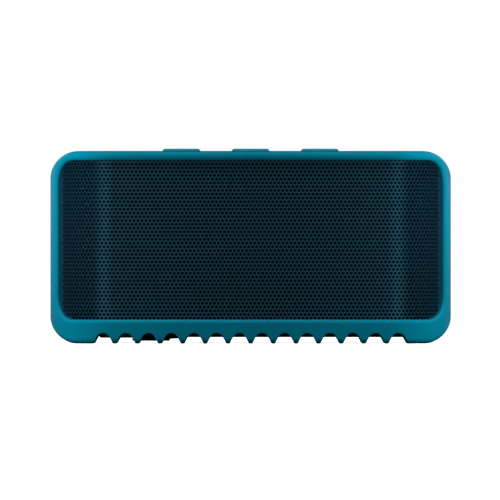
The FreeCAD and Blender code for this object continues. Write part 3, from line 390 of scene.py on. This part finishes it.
# ---- grilles -------------------------------------------------------------------------------------

GRILLE_INSET = 1.35 * MM
BEND = PLAN_ROUND - GRILLE_INSET
SHEET = 0.5 * MM
CORNER = 6.4 * MM
# A hole's radius runs to its corners. PITCH is the step along a row and ROW the step between rows.
HOLE = 0.515 * MM
HOLE_SIDES = 8
PITCH = 1.2597 * MM
ROW = 1.178 * MM
ROWS = 43
SIDE_HOLES = 49


def on_sheet(along, up, depth, face):
    """A point of the front grille: along its outer face from the middle, up, and depth under that face."""
    turn = max(abs(along) - HUB_ACROSS, 0.0) / BEND
    across = min(abs(along), HUB_ACROSS) + (BEND - depth) * math.sin(turn)
    back = face + BEND - (BEND - depth) * math.cos(turn)
    return math.copysign(across, along), back, up


def ring_pattern(outer, inner):
    """Triangles between two rings of points round one centre, both anticlockwise from the +x side."""
    turn = 2 * math.pi
    angles = [[math.atan2(y, x) % turn for x, y in ring] for ring in (outer, inner)]
    steps = [0, 0]
    triangles = []

    def spot(side, extra=0):
        return side, (steps[side] + extra) % len(angles[side])

    def ahead(side):
        return angles[side][spot(side, 1)[1]] + turn * ((steps[side] + 1) // len(angles[side]))

    while steps[0] < len(outer) or steps[1] < len(inner):
        side = 0 if ahead(0) < ahead(1) else 1
        triangles.append((spot(0), spot(side, 1), spot(1)))
        steps[side] += 1
    return triangles


def places_between(start, end, step):
    """Places from start to end, start left out, about a step apart."""
    count = max(1, round(abs(end - start) / step))
    return [start + (end - start) * n / count for n in range(1, count + 1)]


def sheet_limits(along, low, high):
    """Lowest and highest place of the sheet there: its outline has rounded corners in the front view."""
    across = min(abs(along), HUB_ACROSS) + BEND * math.sin(max(abs(along) - HUB_ACROSS, 0.0) / BEND)
    over = min(max(across - (high.x - CORNER), 0.0), CORNER)
    drop = CORNER - math.sqrt(CORNER**2 - over**2)
    return low.z + drop, high.z - drop


def flat_sheet(low, high):
    """The grille laid flat: points (along, up), and faces with a staggered round hole wherever one fits."""
    half_long = HUB_ACROSS + BEND * math.acos((low.y + BEND - high.y) / BEND)
    middle = (low.z + high.z) / 2
    last = SIDE_HOLES * 2 + 1
    border = places_between(last * PITCH / 2, half_long, PITCH)
    columns = [-x for x in reversed(border)] + [k * PITCH / 2 for k in range(-last, last + 1)] + border
    centre = len(border) + last
    levels = [low.z] + [middle + (j - ROWS / 2) * ROW for j in range(ROWS + 1)] + [high.z]
    limits = [sheet_limits(s, low, high) for s in columns]
    points, index = [], {}

    def corner(row, column):
        bottom, top = limits[column]
        key = (column, round(min(max(levels[row], bottom), top), 8))
        if key not in index:
            index[key] = len(points)
            points.append((columns[column], key[1]))
        return index[key]

    around = [(1, 1), (0, 1), (-1, 1), (-1, 0), (0, 0), (1, 0)]
    outer = [(dx * PITCH / 2, (dz - 0.5) * ROW) for dx, dz in around]
    spokes = [2 * math.pi * (n + 0.5) / HOLE_SIDES for n in range(HOLE_SIDES)]
    inner = [(HOLE * math.cos(a), HOLE * math.sin(a)) for a in spokes]
    pattern = ring_pattern(outer, inner)
    faces, used = [], set()
    for j in range(ROWS):
        for k in range(1 - last + j % 2, last, 2):
            column, row = centre + k, j + 1
            bottom, top = limits[column + (1 if k > 0 else -1)]
            if levels[row] < bottom or levels[row + 1] > top:
                continue
            used.update({(row, column - 1), (row, column)})
            ring = range(len(points), len(points) + HOLE_SIDES)
            points += [(columns[column] + dx, levels[row] + ROW / 2 + dz) for dx, dz in inner]
            cell = [corner(row + dz, column + dx) for dx, dz in around]
            faces += [[(cell, ring)[side][n] for side, n in triangle] for triangle in pattern]
    for row in range(len(levels) - 1):
        for column in range(len(columns) - 1):
            if (row, column) not in used:
                quad = [corner(row, column), corner(row, column + 1)]
                quad += [corner(row + 1, column + 1), corner(row + 1, column)]
                face = [v for n, v in enumerate(quad) if v != quad[n - 1]]
                if len(face) > 2:
                    faces.append(face)
    return points, faces


def grille_mesh(name, node):
    """The flat sheet bent round the front and both corners, and given its thickness."""
    low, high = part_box(node)
    flat, front = flat_sheet(low, high)
    count = len(flat)
    points = [on_sheet(s, z, depth, low.y) for depth in (0.0, SHEET) for s, z in flat]
    sides = {(a, b) for face in front for a, b in zip(face, face[1:] + face[:1])}
    rims = sorted((a, b) for a, b in sides if (b, a) not in sides)
    faces = front + [[v + count for v in reversed(face)] for face in front]
    faces += [[b, a, a + count, b + count] for a, b in rims]
    mesh = bpy.data.meshes.new(name)
    mesh.from_pydata(points, [], faces)
    mesh.polygons.foreach_set("use_smooth", [True] * len(mesh.polygons))
    folds = {tuple(sorted(rim)) for rim in rims}
    folds |= {(a + count, b + count) for a, b in folds}
    sharp = mesh.attributes.new("sharp_edge", "BOOLEAN", "EDGE")
    sharp.data.foreach_set("value", [tuple(sorted(edge.vertices)) in folds for edge in mesh.edges])
    mesh.update()
    return mesh


def add_grilles(finish):
    """The front grille, and the same sheet turned to the rear, in place of the two plain shells."""
    front = bpy.data.objects.new("front_grille_sheet", grille_mesh("front_grille_sheet", "front_grille"))
    rear = bpy.data.objects.new("rear_grille_sheet", front.data.copy())
    rear.data.transform(Matrix.Rotation(math.pi, 4, "Z"))
    for sheet, node in ((front, "front_grille"), (rear, "rear_grille")):
        scene.collection.objects.link(sheet)
        sheet.data.materials.append(finish.material)
        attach(sheet, "speaker")
        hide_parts(node)


# ---- studio --------------------------------------------------------------------------------------


MIDDLE = (0.0, 0.0, 0.03)
END_LIGHT = {"where": (0.115, -0.06, 0.055), "aim": (0.04, -0.01, 0.04), "size": (0.03, 0.09), "watts": 0.07}
FRONT_LIGHT = {
    "where": (0.115, -0.25, 0.035), "aim": (0.045, -0.027, 0.035), "size": (0.08, 0.14), "watts": 0.017
}
REAR_LIGHT = {"where": (0.30, 0.35, 0.20), "aim": MIDDLE, "size": (0.15, 0.3), "watts": 0.5}
TOP_LIGHT = {"where": (0.0, -0.09, 0.28), "aim": MIDDLE, "size": (0.2, 0.08), "watts": 0.4}
FRONT_FILL = {"where": (0.0, -1.0, 0.05), "aim": MIDDLE, "size": (0.9, 0.6), "watts": 0.025}
FLOOR_HALF = 8.0
FLOOR_CELLS = 8
GLOW_NEAR, GLOW_FAR = 0.85, 1.0
GLOW_START, GLOW_END = 0.1, 0.3
ROOM_GREY = 0.02


def softbox(name, where, aim, size, watts, side=1):
    """A soft rectangular light that faces a point and that no camera sees; side -1 mirrors it to the left."""
    lamp = bpy.data.lights.new(name, "AREA")
    lamp.shape = "RECTANGLE"
    lamp.size, lamp.size_y = size
    lamp.energy = watts
    made = bpy.data.objects.new(name, lamp)
    start, end = (Vector((side * x, y, z)) for x, y, z in (where, aim))
    made.location = start
    made.rotation_euler = (end - start).to_track_quat("-Z", "Y").to_euler()
    made.visible_camera = False
    scene.collection.objects.link(made)
    return made


def add_lights():
    """Small soft boxes near both ends, which leave no reflection, and others in front, behind and above."""
    for side, word in ((-1, "left"), (1, "right")):
        near = softbox(f"{word}_end_light", **END_LIGHT, side=side)
        near.visible_glossy = False
        softbox(f"{word}_front_light", **FRONT_LIGHT, side=side)
        softbox(f"{word}_rear_light", **REAR_LIGHT, side=side)
    softbox("top_light", **TOP_LIGHT)
    softbox("front_fill", **FRONT_FILL)


def add_floor():
    """A pale floor that stays white to the camera and takes a soft shadow under the object."""
    row = FLOOR_CELLS + 1
    places = [FLOOR_HALF * (2 * n / FLOOR_CELLS - 1) for n in range(row)]
    points = [(x, y, 0.0) for y in places for x in places]
    corners = [j * row + i for j in range(FLOOR_CELLS) for i in range(FLOOR_CELLS)]
    faces = [(c, c + 1, c + row + 1, c + row) for c in corners]
    mesh = bpy.data.meshes.new("floor")
    mesh.from_pydata(points, [], faces)
    floor = bpy.data.objects.new("floor", mesh)
    scene.collection.objects.link(floor)
    look = Finish("floor_white", (0.9, 0.9, 0.9), 0.9, specular=0.0)
    away = look.add("ShaderNodeVectorMath", [(0, look.place)], operation="LENGTH").outputs["Value"]
    fitted = [(0, away), (1, GLOW_START), (2, GLOW_END), (3, GLOW_NEAR), (4, GLOW_FAR)]
    glow = look.add("ShaderNodeMapRange", fitted).outputs[0]
    look.shader.inputs["Emission Color"].default_value = (1.0, 1.0, 1.0, 1.0)
    look.links.new(glow, look.shader.inputs["Emission Strength"])
    behind = look.add("ShaderNodeNewGeometry").outputs["Backfacing"]
    clear = look.add("ShaderNodeBsdfTransparent")
    mix = look.add("ShaderNodeMixShader", [(0, behind), (1, look.shader.outputs[0]), (2, clear.outputs[0])])
    look.links.new(mix.outputs[0], look.nodes["Material Output"].inputs["Surface"])
    mesh.materials.append(look.material)
    floor.visible_diffuse = False
    floor.visible_glossy = False


def set_world():
    """A room that is white to the camera and nearly dark to everything else."""
    world = bpy.data.worlds.new("studio")
    world.use_nodes = True
    nodes, links = world.node_tree.nodes, world.node_tree.links
    seen = nodes.new("ShaderNodeBackground")
    seen.inputs["Color"].default_value = (1.0, 1.0, 1.0, 1.0)
    felt = nodes["Background"]
    felt.inputs["Color"].default_value = (ROOM_GREY, ROOM_GREY, ROOM_GREY, 1.0)
    path = nodes.new("ShaderNodeLightPath")
    mix = nodes.new("ShaderNodeMixShader")
    links.new(path.outputs["Is Camera Ray"], mix.inputs[0])
    links.new(felt.outputs[0], mix.inputs[1])
    links.new(seen.outputs[0], mix.inputs[2])
    links.new(mix.outputs[0], nodes["World Output"].inputs["Surface"])
    scene.world = world
    scene.view_settings.view_transform = "Standard"


add_camera()
finishes = make_finishes()
dress_nodes(finishes)
add_grilles(finishes["grille_metal"])
add_lights()
add_floor()
set_world()
